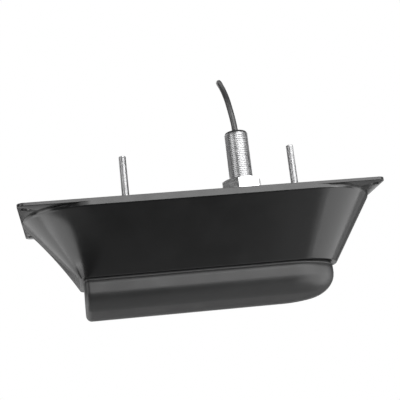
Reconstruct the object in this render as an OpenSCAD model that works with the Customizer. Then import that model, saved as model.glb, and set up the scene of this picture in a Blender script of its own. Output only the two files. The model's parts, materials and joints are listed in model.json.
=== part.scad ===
// Through-hull imaging sonar transducer with its flanged fairing, stem, studs and cable.
// Millimetres. The origin is the middle of the hull face, +X to the bow and +Z up into the hull.

/* [Flange] */
// Length of the flange, stern edge to bow edge
flange_l = 370; // [320:1:440]
// Width of the flange
flange_w = 145; // [130:1:180]
// Thickness of the corner tabs
tab_t = 3.5; // [2.5:0.1:5.5]
// Height of the rim below the hull face
rim_h = 7; // [6:0.1:12]
// Radius of the flange corners in plan
flange_corner_r = 7; // [2:0.5:9]
// How far the tapered body sets back under the rim
rim_ledge = 1; // [0.5:0.1:4]
// How far the ends of the rim set back from the flange ends
rim_end = 1.6; // [1.2:0.1:3]
// Gap between the top of the tapered body and the flange ends
body_end_gap = 0.2; // [0.1:0.05:0.4]
// Diameter of the screw holes in the tabs
screw_hole_d = 5.2; // [4.6:0.1:6.5]
// Diameter of the countersinks under the tabs
screw_sink_d = 8.4; // [7:0.1:9]
// Centre of a screw hole from the flange end
screw_end = 7.2; // [6:0.1:10]
// Centre of a screw hole from the flange side
screw_side = 13.6; // [10:0.1:16]

/* [Fairing body] */
// Depth of the fairing, hull face to the bar gasket
fairing_h = 73.1; // [50:0.1:110]
// How far the stern slopes in from the flange end
stern_rake = 56.5; // [40:0.5:75]
// How far the nose slopes in from the flange end
nose_rake = 43.8; // [30:0.1:60]
// Width of the underside that the bar sits against
base_w = 88.5; // [80:0.5:100]
// Length of the rounded nose of the underside
base_nose_l = 46; // [42:0.5:60]
// Radius of the stern corners of the underside in plan
base_corner_r = 3; // [2:0.5:12]
// Width of the flat left in the middle of the stern at the rim
stern_flat_w = 4; // [2:0.5:12]
// How far the middle of the stern's slope is hollowed
stern_hollow = 1; // [0:0.1:4]
// How late the stern turns from round to square on its way down
stern_square = 2; // [1:0.1:3]

/* [Transducer bar] */
// Setback of the bar's stern from the fairing's underside
bar_stern_setback = 2.5; // [0.5:0.1:5]
// Setback of the bar's nose from the fairing's underside
bar_tip_setback = 4.8; // [1:0.1:8]
// Setback of the bar's sides from the fairing's underside
bar_side_setback = 0.75; // [0.3:0.05:3]
// Height of the bar, lid top to keel
bar_h = 35.2; // [32:0.1:42]
// Radius where the sides turn under
bilge_r = 25.5; // [22:0.5:27]
// Radius of the crowned underside
crown_r = 110; // [90:1:250]
// Length of the rounded nose of the bar
bar_nose_l = 55; // [44:0.5:65]
// Rounding of the stern edges of the bar
bar_edge_r = 6; // [2:0.5:7]
// Wall of the bar housing
bar_wall = 4; // [3:0.1:5]
// Thickness of the gasket between fairing and bar
gasket_t = 1.4; // [0.8:0.1:3]
// Setback of the gasket inside the bar's outline
gasket_inset = 2; // [1:0.1:4]
// Thickness of the lid where its edge shows
lid_edge_t = 1.6; // [1:0.1:3]
// Depth of the lid inside the housing
lid_plug_t = 4.8; // [4:0.1:8]
// Gap between the lid and the inside of the housing
lid_fit = 0.3; // [0.2:0.05:0.6]
// Thickness of the seal under the lid's edge
lid_seal_t = 0.8; // [0.5:0.1:1.5]
// Setback of that seal inside the bar's outline
lid_seal_inset = 0.8; // [0.3:0.1:2]

/* [Stem] */
// Stem centre from the bow end of the flange
stem_from_bow = 134; // [126:0.5:146]
// Thread diameter of the stem
stem_d = 25.4; // [22:0.1:27]
// Height of the stem's metal above the hull face
stem_h = 79; // [50:0.1:120]
// Bore of the stem for the cable
stem_bore_d = 10; // [9:0.5:14]
// Depth from the thread's crest to its pitch line
stem_thread_depth = 0.7; // [0.5:0.05:1]
// Diameter of the foot that holds the stem under the lid
foot_d = 40; // [36:0.5:46]
// Thickness of that foot
foot_t = 5; // [4:0.1:8]
// Radial gap round the stem where it passes through
stem_play = 0.3; // [0.2:0.05:0.6]
// Thickness of the gland cap on the stem
gland_cap_t = 1.8; // [1:0.1:3]
// Length of the gland inside the stem
gland_plug_l = 15; // [8:0.5:30]
// Section of the seal ring round the stem
stem_seal_d = 2.6; // [2:0.1:3.5]

/* [Nut and washers] */
// Width across the flats of the hull nut
nut_af = 39; // [36:0.5:46]
// Height of the hull nut
nut_h = 23.5; // [14:0.5:28]
// How far the nut's round end faces sit inside its flats
nut_face_inset = 1; // [0.5:0.1:2]
// Turn of the nut about the stem
nut_turn = 12; // [0:1:60]
// Diameter of the recess for the washers in the hull face
recess_d = 56; // [54:0.5:62]
// Depth of that recess
recess_t = 2; // [1:0.1:3]
// Diameter of the rubber sealing washer
seal_washer_d = 50; // [47:0.5:52]
// Thickness of the rubber sealing washer
seal_washer_t = 3; // [2.2:0.1:5]
// Diameter of the flat washer
flat_washer_d = 46; // [44:0.5:50]
// Thickness of the flat washer
flat_washer_t = 2; // [1.5:0.1:3]

/* [Studs] */
// Rear stud centre from the stern end of the flange
rear_stud_from_stern = 110; // [100:0.5:116]
// Front stud centre from the bow end of the flange
front_stud_from_bow = 76; // [74:0.5:82]
// Thread diameter of the studs
stud_d = 8; // [6:0.1:10]
// Height of the studs above the hull face
stud_h = 62.4; // [40:0.5:100]
// Depth from a stud thread's crest to its pitch line
stud_thread_depth = 0.4; // [0.3:0.05:0.6]
// Diameter of the stud heads under the lid
stud_head_d = 16; // [14:0.5:18]
// Thickness of the stud heads
stud_head_t = 4; // [3:0.1:5]
// Radial gap round a stud where it passes through
stud_play = 0.3; // [0.2:0.05:0.6]
// Section of the seal rings round the studs
stud_seal_d = 2; // [1.5:0.1:2.5]

/* [Arrays] */
// Thickness of the ceramic arrays
array_t = 4; // [3:0.1:5]
// Width of each side array
side_array_w = 14; // [10:0.5:15]
// Width of the downward array
down_array_w = 24; // [18:0.5:28]
// Tilt of the side arrays from straight down
array_tilt = 45; // [42:1:50]
// Gap of the arrays from the housing wall
array_gap = 0.5; // [0.3:0.05:0.9]
// Gap between the arrays and the ends of the straight cavity
array_end_gap = 8; // [4:0.5:14]
// Thickness of the foam behind each side array
side_backing_t = 5; // [4:0.1:6]
// Thickness of the foam behind the downward array
down_backing_t = 3; // [2.5:0.1:4]
// Gap between the carrier and the stem's foot
carrier_gap = 0.5; // [0.3:0.1:0.9]
// Gap at each end of the matching board, to the stem's foot and to a stud head
board_gap = 8; // [4:0.5:20]
// Width of the matching board
board_w = 36; // [30:1:44]
// Thickness of the matching board
board_t = 1.6; // [1:0.1:2]
// Diameter of the matching coils on the board
choke_d = 12; // [8:0.5:14]
// Margin between the outer matching coils and the board's ends
choke_margin = 2; // [1:0.5:6]
// Diameter of the temperature sensor
sensor_d = 6; // [5:0.1:8]
// Height of the temperature sensor
sensor_h = 9; // [6:0.1:12]
// Sensor centre, forward of where the nose starts
sensor_x = 18; // [12:0.5:24]

/* [Cable] */
// Diameter of the cable
cable_d = 6.5; // [6:0.1:7]
// Mean radius of the coil's turns
coil_r = 37.25; // [36:0.25:40]
// Coil centre, aft of the stem
coil_aft = 34; // [26:0.5:51]
// Coil centre below the hull face
coil_drop = 15; // [5:0.5:25]
// Gap between the coil and the flange's side
coil_gap = 5.25; // [3:0.25:10]
// Thickness of the strap round the coil
tie_t = 1.6; // [1:0.1:3]
// Angle that the strap covers round the coil
tie_angle = 22; // [12:1:40]
// Gap between the strap and the coil
tie_gap = 0.3; // [0.2:0.05:0.6]
// Diameter of the plug's grip
plug_d = 18; // [15:0.5:20]
// Length of the plug's tapered strain relief
plug_relief_l = 14; // [10:0.5:20]
// Length of the plug's grip
plug_grip_l = 22; // [16:0.5:30]
// Length of the plug's barrel past the grip
plug_barrel_l = 16; // [12:0.5:20]
// Diameter of the plug's barrel
plug_barrel_d = 14; // [12:0.5:15]
// Wall of the plug's locking collar
plug_collar_wall = 2.6; // [1.5:0.1:3]
// Diameter of the plug's contacts
contact_d = 1.6; // [1.2:0.1:2]

/* [Hidden] */
$fn = 64;
cut = 1;
corner_steps = 10;
nose_steps = 28;
loft_steps = 10;
bilge_steps = 9;
crown_steps = 5;

// Flange and fairing
rim_half = flange_w / 2;
body_half = rim_half - rim_ledge;
base_half = base_w / 2;
base_stern = stern_rake - flange_l / 2;
base_tip = flange_l / 2 - nose_rake;
stem_x = flange_l / 2 - stem_from_bow;
rear_stud_x = rear_stud_from_stern - flange_l / 2;
front_stud_x = flange_l / 2 - front_stud_from_bow;
stem_hole_r = stem_d / 2 + stem_play;
stud_hole_r = stud_d / 2 + stud_play;
least_corner_r = 0.5;

// Bar: outline and levels from the fairing's underside down
bar_half = base_half - bar_side_setback;
bar_stern = base_stern + bar_stern_setback;
bar_tip = base_tip - bar_tip_setback;
bar_nose_x = bar_tip - bar_nose_l;
lid_z = -fairing_h - gasket_t;
seal_z = lid_z - lid_edge_t;
housing_z = seal_z - lid_seal_t;
lid_under_z = seal_z - lid_plug_t;
keel_z = lid_z - bar_h;

// Bar section: a bilge arc that meets a crown arc, about these centres
bilge_y = bar_half - bilge_r;
crown_slope = asin(bilge_y / (crown_r - bilge_r));
bilge_z = keel_z + crown_r - (crown_r - bilge_r) * cos(crown_slope);

// Stem stack above the hull face
stem_pitch_r = stem_d / 2 - stem_thread_depth;
foot_z = lid_under_z - foot_t;
seal_washer_z = -recess_t;
flat_washer_z = seal_washer_z + seal_washer_t;
nut_z = flat_washer_z + flat_washer_t;
nut_top = nut_z + nut_h;
nut_r = nut_af / 2 / cos(30);
gland_z = stem_h + gland_cap_t;
stud_pitch_r = stud_d / 2 - stud_thread_depth;
stem_seat_r = stem_pitch_r + stem_seal_d + stem_play;
stud_seat_r = stud_pitch_r + stud_seal_d + stud_play;

// Arrays on the inside of the bilge and the crown
array_r = sqrt(pow(bilge_r - bar_wall - array_gap, 2) - pow(side_array_w / 2, 2));
backing_r = array_r - array_t;
seat_r = backing_r - side_backing_t;
array_x = bar_stern + bar_wall + array_end_gap;
array_l = bar_nose_x - array_end_gap - array_x;
down_z = floor_z(down_array_w / 2) + array_gap;
down_backing_z = down_z + array_t;
carrier_z = down_backing_z + down_backing_t;
carrier_top = foot_z - carrier_gap;
board_stern = rear_stud_x + stud_head_d / 2 + board_gap;
board_bow = stem_x - foot_d / 2 - board_gap;
board_x = (board_stern + board_bow) / 2;
board_l = board_bow - board_stern;
choke_pitch = (board_l - choke_d) / 2 - choke_margin;
choke_h = lid_under_z - carrier_top - board_t - carrier_gap;
choke_hole_d = choke_d * 0.4;

// Coil behind the fairing, with its axis across the boat
coil_layers = 4;
coil_rows = 6;
coil_outer_r = coil_r + (coil_layers - 1) / 2 * cable_d;
coil_row = (coil_rows - 1) / 2 * cable_d;
coil_wide = coil_layers * cable_d;
coil_thick = coil_rows * cable_d;
coil_round = cable_d / 2;
coil_x = stem_x - coil_aft;
coil_y = rim_half + coil_gap + coil_thick / 2;
coil_z = -coil_drop;
lead_stub = 29;
tail_stub = 29;

// Cable from the gland, over and down behind the fairing to the coil
lead_start = [stem_x, 0, gland_z];
lead_end = [coil_x + coil_outer_r, coil_y - coil_row, coil_z + lead_stub];
lead_shape = [
    [0, 0, 0], [-1, 0, 13], [-3, 0, 28], [-5, 2, 42], [-7, 9, 56], [-8, 20, 67],
    [-5, 34, 73], [0, 48, 72], [6, 60, 65], [10, 68, 54], [13, 72, 40], [14, 75, 25],
    [14, 77, 10], [14, 79, -5], [13, 80, -20], [13, 81, -35], [13, 81, -51], [13, 81, -67]
];
lead_last = len(lead_shape) - 1;
lead_stretch = lead_end - lead_start - lead_shape[lead_last];
lead_route = [for (i = [0:lead_last]) lead_start + lead_shape[i] + lead_stretch * i / lead_last];

// Cable from the coil to the plug
tail_start = [coil_x + tail_stub, coil_y + coil_row, coil_z + coil_outer_r];
tail_shape = [
    [0, 0, 0], [6, 0, 0], [14, 0, -1], [20, 0, -4], [26, 0, -8],
    [30, 0, -14], [33, 0, -21], [34, 0, -28], [34, 0, -36]
];
tail_route = [for (p = tail_shape) tail_start + p];
cable_sides = 10;

// Plug levels, below the end of the tail
plug_at = tail_route[len(tail_route) - 1];
plug_relief_wall = 1;
plug_relief_flare = 2.5;
plug_bevel = 1;
plug_relief_z = -plug_relief_l;
plug_grip_z = plug_relief_z - plug_grip_l;
plug_barrel_z = plug_grip_z - plug_barrel_l;
collar_short = 1;
collar_gap = 0.3;
contacts_on_ring = 8;
contact_ring_r = plug_barrel_d / 4;
contact_l = plug_barrel_l / 2;
contact_bore_d = contact_d / 2;

// Plan outline: a squared stern with rounded corners and a half ellipse for the nose
function plan(stern, tip, half, nose, corner) = concat(
    [for (i = [0:corner_steps]) let (a = 180 + 90 * i / corner_steps)
        [stern + corner + corner * cos(a), corner - half + corner * sin(a)]],
    [for (i = [0:nose_steps]) let (a = 180 * i / nose_steps - 90)
        [tip - nose + nose * cos(a), half * sin(a)]],
    [for (i = [0:corner_steps]) let (a = 90 + 90 * i / corner_steps)
        [stern + corner + corner * cos(a), half - corner + corner * sin(a)]]
);

function lifted(outline, z) = [for (p = outline) [p[0], p[1], z]];

function between(a, b, t) = a + (b - a) * t;

// Outline of the tapered body, from 0 at the rim to 1 at the underside
function body_plan(t) = plan(
    between(rim_ledge - flange_l / 2, base_stern, t) + stern_hollow * 4 * t * (1 - t),
    between(flange_l / 2 - rim_ledge, base_tip, t),
    between(body_half, base_half, t),
    between(body_half, base_nose_l, t),
    between(body_half - stern_flat_w / 2, base_corner_r, pow(t, stern_square))
);

// Outline where the tapered body meets the tabs, close to the flange ends
function body_top() =
    let (reach = rim_ledge - body_end_gap)
    plan(
        body_end_gap - flange_l / 2, flange_l / 2 - body_end_gap, body_half, body_half + reach,
        body_half - stern_flat_w / 2
    );

// Outline of the bar, set in from its side
function bar_plan(inset) = plan(
    bar_stern + inset, bar_tip - inset, bar_half - inset, bar_nose_l - inset,
    max(bar_edge_r - inset, least_corner_r)
);

// Half width and level of the bar's skin where its slope from level is a
function skin_y(inset, a) = a > crown_slope
    ? bilge_y + (bilge_r - inset) * sin(a)
    : (crown_r - inset) * sin(a);

function skin_z(inset, a) = a > crown_slope
    ? bilge_z - (bilge_r - inset) * cos(a)
    : keel_z + crown_r - (crown_r - inset) * cos(a);

// Level of the housing's floor at a distance from the keel line
function floor_z(y) = keel_z + crown_r - sqrt(pow(crown_r - bar_wall, 2) - y * y);

// Rounded stern edge at one side of the bar, where the skin's slope is a
function stern_edge(inset, a, side) =
    let (edge = max(bar_edge_r - inset, least_corner_r))
    [for (i = [0:corner_steps])
        let (turn = 90 * i / corner_steps)
        let (deep = inset + edge * (1 - sin(turn)))
        [bar_stern + inset + edge * (1 - cos(turn)), side * skin_y(deep, a), skin_z(deep, a)]];

function reversed(points) = [for (i = [1:len(points)]) points[len(points) - i]];

// One line of the bar's skin, all of the same slope
function skin_ring(inset, a) =
    let (half = skin_y(inset, a))
    let (nose = (bar_nose_l - inset) * half / (bar_half - inset))
    concat(
        stern_edge(inset, a, -1),
        [for (i = [0:nose_steps]) let (turn = 180 * i / nose_steps - 90)
            [bar_nose_x + nose * cos(turn), half * sin(turn), skin_z(inset, a)]],
        reversed(stern_edge(inset, a, 1))
    );

function skin_slopes() = concat(
    [for (i = [0:bilge_steps]) between(90, crown_slope, i / bilge_steps)],
    [for (i = [1:crown_steps]) between(crown_slope, crown_slope / crown_steps / 2, i / crown_steps)]
);

// Skin of the bar as rings from a top level down to the keel
function skin(inset, top) = concat(
    [lifted(bar_plan(inset), top)],
    [for (a = skin_slopes()) skin_ring(inset, a)]
);

// Closed solid over rings of equal count, listed from the top down; the last one is symmetrical
module loft(rings) {
    n = len(rings[0]);
    m = len(rings);
    sides = [for (k = [0:m - 2], i = [0:n - 1]) let (j = (i + 1) % n)
        each [[k * n + i, k * n + j, k * n + n + j], [k * n + i, k * n + n + j, k * n + n + i]]];
    top = [[for (i = [0:n - 1]) n - 1 - i]];
    polyhedron([for (r = rings) each r], concat(sides, top, bottom_strips(n, (m - 1) * n)));
}

// Strips across a ring of n points, from each point to its mirror image
function bottom_strips(n, base) = [for (i = [0:floor(n / 2) - 1])
    let (j = n - 1 - i)
    each i + 1 < j - 1
        ? [[base + i, base + i + 1, base + j], [base + i + 1, base + j - 1, base + j]]
        : i + 1 < j ? [[base + i, base + i + 1, base + j]] : []];

function unit(v) = v / norm(v);

// Direction of a route at each point, square to the end faces at both ends
function headings(route, first, last) = [for (i = [0:len(route) - 1])
    i == 0 ? first : i == len(route) - 1 ? last : unit(route[i + 1] - route[i - 1])];

// Tube swept along a route, with its rings turned about a direction that the route never takes
module tube(route, d, first, last, across) {
    ways = headings(route, first, last);
    loft([for (i = [0:len(route) - 1])
        let (u = unit(cross(ways[i], across)))
        let (v = cross(ways[i], u))
        [for (k = [0:cable_sides - 1]) let (a = -360 * k / cable_sides)
            route[i] + d / 2 * (cos(a) * u + sin(a) * v)]]);
}

module rounded_plate(l, w, r) {
    square([l - 2 * r, w], center = true);
    square([l, w - 2 * r], center = true);
    for (x = [-1, 1], y = [-1, 1])
        translate([x * (l / 2 - r), y * (w / 2 - r)]) circle(r);
}

module stadium(l, w) {
    square([l - w, w], center = true);
    for (x = [-1, 1]) translate([x * (l - w) / 2, 0]) circle(w / 2, $fn = 128);
}

module slab(z_low, z_high) {
    translate([0, 0, z_low]) linear_extrude(z_high - z_low) children();
}

module rod(x, y, r, z_low, z_high) {
    translate([x, y, z_low]) cylinder(r = r, h = z_high - z_low);
}

// Holes for the stem and the studs, each a little larger than what passes through
module passages(stem_r, stud_r, z_low, z_high) {
    rod(stem_x, 0, stem_r, z_low, z_high);
    for (x = [rear_stud_x, front_stud_x]) rod(x, 0, stud_r, z_low, z_high);
}

module ring(x, r_in, r_out, z_low, z_high) {
    translate([x, 0, 0]) slab(z_low, z_high) difference() {
        circle(r_out);
        circle(r_in);
    }
}

module o_ring(x, r_in, section, z) {
    translate([x, 0, z]) rotate_extrude() translate([r_in + section / 2, 0]) circle(section / 2, $fn = 32);
}

// Screw hole through a tab, countersunk from below
module screw_hole() {
    sink = (screw_sink_d - screw_hole_d) / 2;
    rod(0, 0, screw_hole_d / 2, -rim_h, cut);
    translate([0, 0, -tab_t - cut])
        cylinder(r1 = screw_sink_d / 2 + cut, r2 = screw_hole_d / 2, h = sink + cut);
}

// Moulded fairing: flange with four tabs, rim, and a body that tapers from stadium to squared stern
module fairing_block() {
    color("#2b2c2e") difference() {
        union() {
            slab(-tab_t, 0) rounded_plate(flange_l, flange_w, flange_corner_r);
            slab(-rim_h, -tab_t / 2) stadium(flange_l - 2 * rim_end, flange_w);
            loft(concat(
                [lifted(body_top(), -tab_t / 2), lifted(body_top(), -tab_t)],
                [for (k = [0:loft_steps]) let (t = k / loft_steps)
                    lifted(body_plan(t), between(-rim_h, -fairing_h, t))]
            ));
        }
        passages(stem_hole_r, stud_hole_r, -fairing_h - cut, cut);
        rod(stem_x, 0, recess_d / 2, -recess_t, cut);
        for (x = [-1, 1], y = [-1, 1])
            translate([x * (flange_l / 2 - screw_end), y * (flange_w / 2 - screw_side), 0]) screw_hole();
    }
}

module bar_gasket() {
    color("#101010") difference() {
        slab(lid_z, -fairing_h) polygon(bar_plan(gasket_inset));
        passages(stem_hole_r, stud_hole_r, lid_z - cut, cut - fairing_h);
    }
}

// Lid that the stem and the studs stand on, plugged into the housing
module bar_lid() {
    color("#3a3b3d") difference() {
        union() {
            slab(seal_z, lid_z) polygon(bar_plan(0));
            slab(lid_under_z, seal_z) polygon(bar_plan(bar_wall + lid_fit));
        }
        passages(stem_pitch_r + stem_play, stud_pitch_r + stud_play, lid_under_z - cut, lid_z + cut);
        rod(stem_x, 0, stem_seat_r, lid_under_z - cut, lid_under_z + stem_seal_d);
        for (x = [rear_stud_x, front_stud_x])
            rod(x, 0, stud_seat_r, lid_under_z - cut, lid_under_z + stud_seal_d);
    }
}

module lid_seal() {
    color("#141414") slab(housing_z, seal_z) difference() {
        polygon(bar_plan(lid_seal_inset));
        polygon(bar_plan(bar_wall));
    }
}

// Moulded bar: crowned underside, soft bilges, squared stern and a nose round in plan and profile
module bar_housing() {
    color("#36373a") difference() {
        loft(skin(0, housing_z));
        loft(skin(bar_wall, housing_z + cut));
    }
}

// Runs a section along the bar; the section is drawn across the boat and up
module along_bar(x, l) {
    translate([x, 0, 0]) rotate([90, 0, 90]) linear_extrude(l) children();
}

// Half width of the carrier's sloping seat at a level
function seat_y(z) = bilge_y + seat_r * sin(array_tilt)
    + (z - bilge_z + seat_r * cos(array_tilt)) / tan(array_tilt);

module array_carrier() {
    low = seat_y(carrier_z);
    high = seat_y(carrier_top);
    color("#8a8f86") along_bar(array_x, array_l)
        polygon([[-low, carrier_z], [low, carrier_z], [high, carrier_top], [-high, carrier_top]]);
}

// Strip on one bilge, between two distances from the bilge's centre
module bilge_strip(side, r_out, t) {
    translate([0, side * bilge_y, bilge_z]) rotate([side * array_tilt, 0, 0])
        translate([array_x, -side_array_w / 2, -r_out]) cube([array_l, side_array_w, t]);
}

module keel_strip(z, t) {
    translate([array_x, -down_array_w / 2, z]) cube([array_l, down_array_w, t]);
}

module port_array() {
    color("#d8cfb8") bilge_strip(1, array_r, array_t);
}

module starboard_array() {
    color("#d8cfb8") bilge_strip(-1, array_r, array_t);
}

module down_array() {
    color("#d8cfb8") keel_strip(down_z, array_t);
}

module port_backing() {
    color("#55504a") bilge_strip(1, backing_r, side_backing_t);
}

module starboard_backing() {
    color("#55504a") bilge_strip(-1, backing_r, side_backing_t);
}

module down_backing() {
    color("#55504a") keel_strip(down_backing_z, down_backing_t);
}

module matching_board() {
    color("#2f6b3c") slab(carrier_top, carrier_top + board_t)
        translate([board_x, 0]) square([board_l, board_w], center = true);
}

module matching_coils() {
    color("#6d4b2a") for (k = [-1:1])
        ring(board_x + k * choke_pitch, choke_hole_d / 2, choke_d / 2,
            carrier_top + board_t, carrier_top + board_t + choke_h);
}

module temperature_sensor() {
    x = bar_nose_x + sensor_x;
    reach = (sensor_x + sensor_d / 2) * (bar_half - bar_wall) / (bar_nose_l - bar_wall);
    z = floor_z(reach) + array_gap;
    color("#b08d4a") translate([x, 0, z]) cylinder(d = sensor_d, h = sensor_h);
}

// Hollow threaded stem, clamped by its foot under the lid and by the nut above
module stem() {
    chamfer = stem_thread_depth;
    crest_z = nut_top + stem_play;
    color("#c9cbcd") translate([stem_x, 0, 0]) rotate_extrude($fn = 96) polygon([
        [stem_bore_d / 2, foot_z], [foot_d / 2, foot_z], [foot_d / 2, lid_under_z],
        [stem_pitch_r, lid_under_z], [stem_pitch_r, crest_z], [stem_d / 2, crest_z],
        [stem_d / 2, stem_h - chamfer], [stem_d / 2 - chamfer, stem_h], [stem_bore_d / 2, stem_h]
    ]);
}

module stem_seal() {
    color("#161616")
        o_ring(stem_x, stem_pitch_r + stem_play / 2, stem_seal_d, lid_under_z + stem_seal_d / 2);
}

// Hull nut with its corners turned off above and below
module hull_nut() {
    face_r = nut_af / 2 - nut_face_inset;
    blank_r = nut_r + cut;
    fall = (blank_r - face_r) * tan(30);
    color("#d2d4d6") translate([stem_x, 0, nut_z]) difference() {
        intersection() {
            rotate([0, 0, nut_turn]) linear_extrude(nut_h) circle(nut_r, $fn = 6);
            rotate_extrude($fn = 96) polygon([
                [0, 0], [face_r, 0], [blank_r, fall],
                [blank_r, nut_h - fall], [face_r, nut_h], [0, nut_h]
            ]);
        }
        translate([0, 0, -cut]) cylinder(r = stem_pitch_r, h = nut_h + 2 * cut, $fn = 96);
    }
}

module flat_washer() {
    color("#cfd1d3") ring(stem_x, stem_hole_r, flat_washer_d / 2, flat_washer_z, nut_z);
}

module sealing_washer() {
    color("#1b1b1c") ring(stem_x, stem_hole_r, seal_washer_d / 2, seal_washer_z, flat_washer_z);
}

// Mounting stud: a head under the lid, a plain shank and the thread above the hull face
module stud(x) {
    chamfer = stud_thread_depth;
    color("#c4c6c8") translate([x, 0, 0]) rotate_extrude() polygon([
        [0, lid_under_z - stud_head_t], [stud_head_d / 2, lid_under_z - stud_head_t],
        [stud_head_d / 2, lid_under_z], [stud_pitch_r, lid_under_z], [stud_pitch_r, stud_play],
        [stud_d / 2, stud_play], [stud_d / 2, stud_h - chamfer], [stud_d / 2 - chamfer, stud_h],
        [0, stud_h]
    ]);
}

module rear_stud() {
    stud(rear_stud_x);
}

module front_stud() {
    stud(front_stud_x);
}

module stud_seals() {
    color("#161616") for (x = [rear_stud_x, front_stud_x])
        o_ring(x, stud_pitch_r + stud_play / 2, stud_seal_d, lid_under_z + stud_seal_d / 2);
}

// Gland: a cap on the stem's mouth and a plug in its bore, moulded round the cable
module cable_gland() {
    cap_r = stem_d / 2 - stem_thread_depth;
    bevel = gland_cap_t / 2;
    color("#202124") translate([stem_x, 0, 0]) rotate_extrude() polygon([
        [cable_d / 2, stem_h - gland_plug_l], [stem_bore_d / 2, stem_h - gland_plug_l],
        [stem_bore_d / 2, stem_h], [cap_r, stem_h], [cap_r, gland_z - bevel],
        [cap_r - bevel, gland_z], [cable_d / 2, gland_z]
    ]);
}

// Cable inside the stem, down to the carrier
module stem_lead() {
    color("#232426") rod(stem_x, 0, cable_d / 2, foot_z, gland_z);
}

module cable() {
    color("#2a2b2d") tube(lead_route, cable_d, [0, 0, 1], [0, 0, -1], [1, 0, 0]);
}

module coil_section(grow) {
    w = coil_wide + 2 * grow;
    h = coil_thick + 2 * grow;
    translate([coil_r, 0]) rounded_plate(w, h, coil_round + grow);
}

module at_coil() {
    translate([coil_x, coil_y, coil_z]) rotate([90, 0, 0]) children();
}

// Outer shape of the wound cable, with the two straight ends that run on from it
module cable_coil() {
    color("#2a2b2d") {
        at_coil() rotate_extrude($fn = 96) coil_section(0);
        translate([coil_x + coil_outer_r, coil_y - coil_row, coil_z])
            cylinder(d = cable_d, h = lead_end[2] - coil_z);
        translate([coil_x, coil_y + coil_row, coil_z + coil_outer_r]) rotate([0, 90, 0])
            cylinder(d = cable_d, h = tail_start[0] - coil_x);
    }
}

module cable_tail() {
    color("#2a2b2d") tube(tail_route, cable_d, [1, 0, 0], [0, 0, -1], [0, 1, 0]);
}

module coil_tie() {
    color("#161617") at_coil() rotate([0, 0, 180 - tie_angle / 2])
        rotate_extrude(angle = tie_angle, $fn = 96) difference() {
            coil_section(tie_gap + tie_t);
            coil_section(tie_gap);
        }
}

module at_contacts() {
    children();
    for (k = [0:contacts_on_ring - 1]) rotate([0, 0, 360 * k / contacts_on_ring])
        translate([contact_ring_r, 0, 0]) children();
}

// Round plug, hanging face down: strain relief, grip and a barrel bored for the contacts
module plug_body() {
    color("#1d1e20") translate(plug_at) difference() {
        rotate_extrude() polygon([
            [0, 0], [cable_d / 2 + plug_relief_wall, 0], [cable_d / 2 + plug_relief_flare, plug_relief_z],
            [plug_d / 2 - plug_bevel, plug_relief_z], [plug_d / 2, plug_relief_z - plug_bevel],
            [plug_d / 2, plug_grip_z], [plug_barrel_d / 2, plug_grip_z],
            [plug_barrel_d / 2, plug_barrel_z], [0, plug_barrel_z]
        ]);
        at_contacts() rod(0, 0, contact_d / 2, plug_barrel_z - cut, plug_barrel_z + contact_l);
    }
}

module plug_collar() {
    r_in = plug_barrel_d / 2 + collar_gap;
    color("#26272a") translate(plug_at)
        slab(plug_barrel_z + collar_short, plug_grip_z - collar_gap) difference() {
            circle(r_in + plug_collar_wall);
            circle(r_in);
        }
}

module plug_contacts() {
    color("#c9a24e") translate(plug_at) at_contacts()
        slab(plug_barrel_z, plug_barrel_z + contact_l) difference() {
            circle(contact_d / 2, $fn = 24);
            circle(contact_bore_d / 2, $fn = 24);
        }
}

fairing_block();
bar_gasket();
bar_lid();
lid_seal();
bar_housing();
array_carrier();
port_array();
starboard_array();
down_array();
port_backing();
starboard_backing();
down_backing();
matching_board();
matching_coils();
temperature_sensor();
stem();
stem_seal();
hull_nut();
flat_washer();
sealing_washer();
rear_stud();
front_stud();
stud_seals();
cable_gland();
stem_lead();
cable();
cable_coil();
cable_tail();
coil_tie();
plug_body();
plug_collar();
plug_contacts();
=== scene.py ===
import json
import math

import bmesh
import bpy
from mathutils import Matrix, Vector


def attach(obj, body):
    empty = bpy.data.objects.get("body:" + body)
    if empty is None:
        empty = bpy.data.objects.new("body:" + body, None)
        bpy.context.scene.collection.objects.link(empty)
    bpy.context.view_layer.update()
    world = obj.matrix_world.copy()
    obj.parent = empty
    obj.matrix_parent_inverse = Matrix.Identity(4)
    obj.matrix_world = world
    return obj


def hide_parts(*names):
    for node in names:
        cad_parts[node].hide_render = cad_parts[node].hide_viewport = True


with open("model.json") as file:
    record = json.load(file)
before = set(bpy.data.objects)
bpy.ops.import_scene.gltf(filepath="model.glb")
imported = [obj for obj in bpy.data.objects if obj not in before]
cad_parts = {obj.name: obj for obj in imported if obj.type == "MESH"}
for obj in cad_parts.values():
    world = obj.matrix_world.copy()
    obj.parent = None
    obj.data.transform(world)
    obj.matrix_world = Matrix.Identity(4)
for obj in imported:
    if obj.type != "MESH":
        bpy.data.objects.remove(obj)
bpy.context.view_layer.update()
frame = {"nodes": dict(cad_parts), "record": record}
scene = bpy.context.scene
scene.view_settings.view_transform = "Standard"
MM = 0.001

# Camera, fitted to the photo.

right = Vector((0.9871, -0.1174, -0.1085)).normalized()
ahead = Vector((0.1414, 0.9581, 0.2492))
ahead = (ahead - right * ahead.dot(right)).normalized()
up = right.cross(ahead)
cam_data = bpy.data.cameras.new("camera")
cam_data.lens = 81.84
cam_data.sensor_width = 36
cam_data.shift_x = -0.00125
cam_data.shift_y = 0.00125
cam_data.clip_start = 0.05
cam_data.clip_end = 60
camera = bpy.data.objects.new("camera", cam_data)
scene.collection.objects.link(camera)
camera.matrix_world = Matrix(
    (
        (right.x, up.x, -ahead.x, -0.13324),
        (right.y, up.y, -ahead.y, -0.93081),
        (right.z, up.z, -ahead.z, -0.23435),
        (0, 0, 0, 1),
    )
)
scene.camera = camera

# Numbers and outlines.


def between(a, b, t):
    return a + (b - a) * t


def clamp(t):
    return min(max(t, 0), 1)


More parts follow.
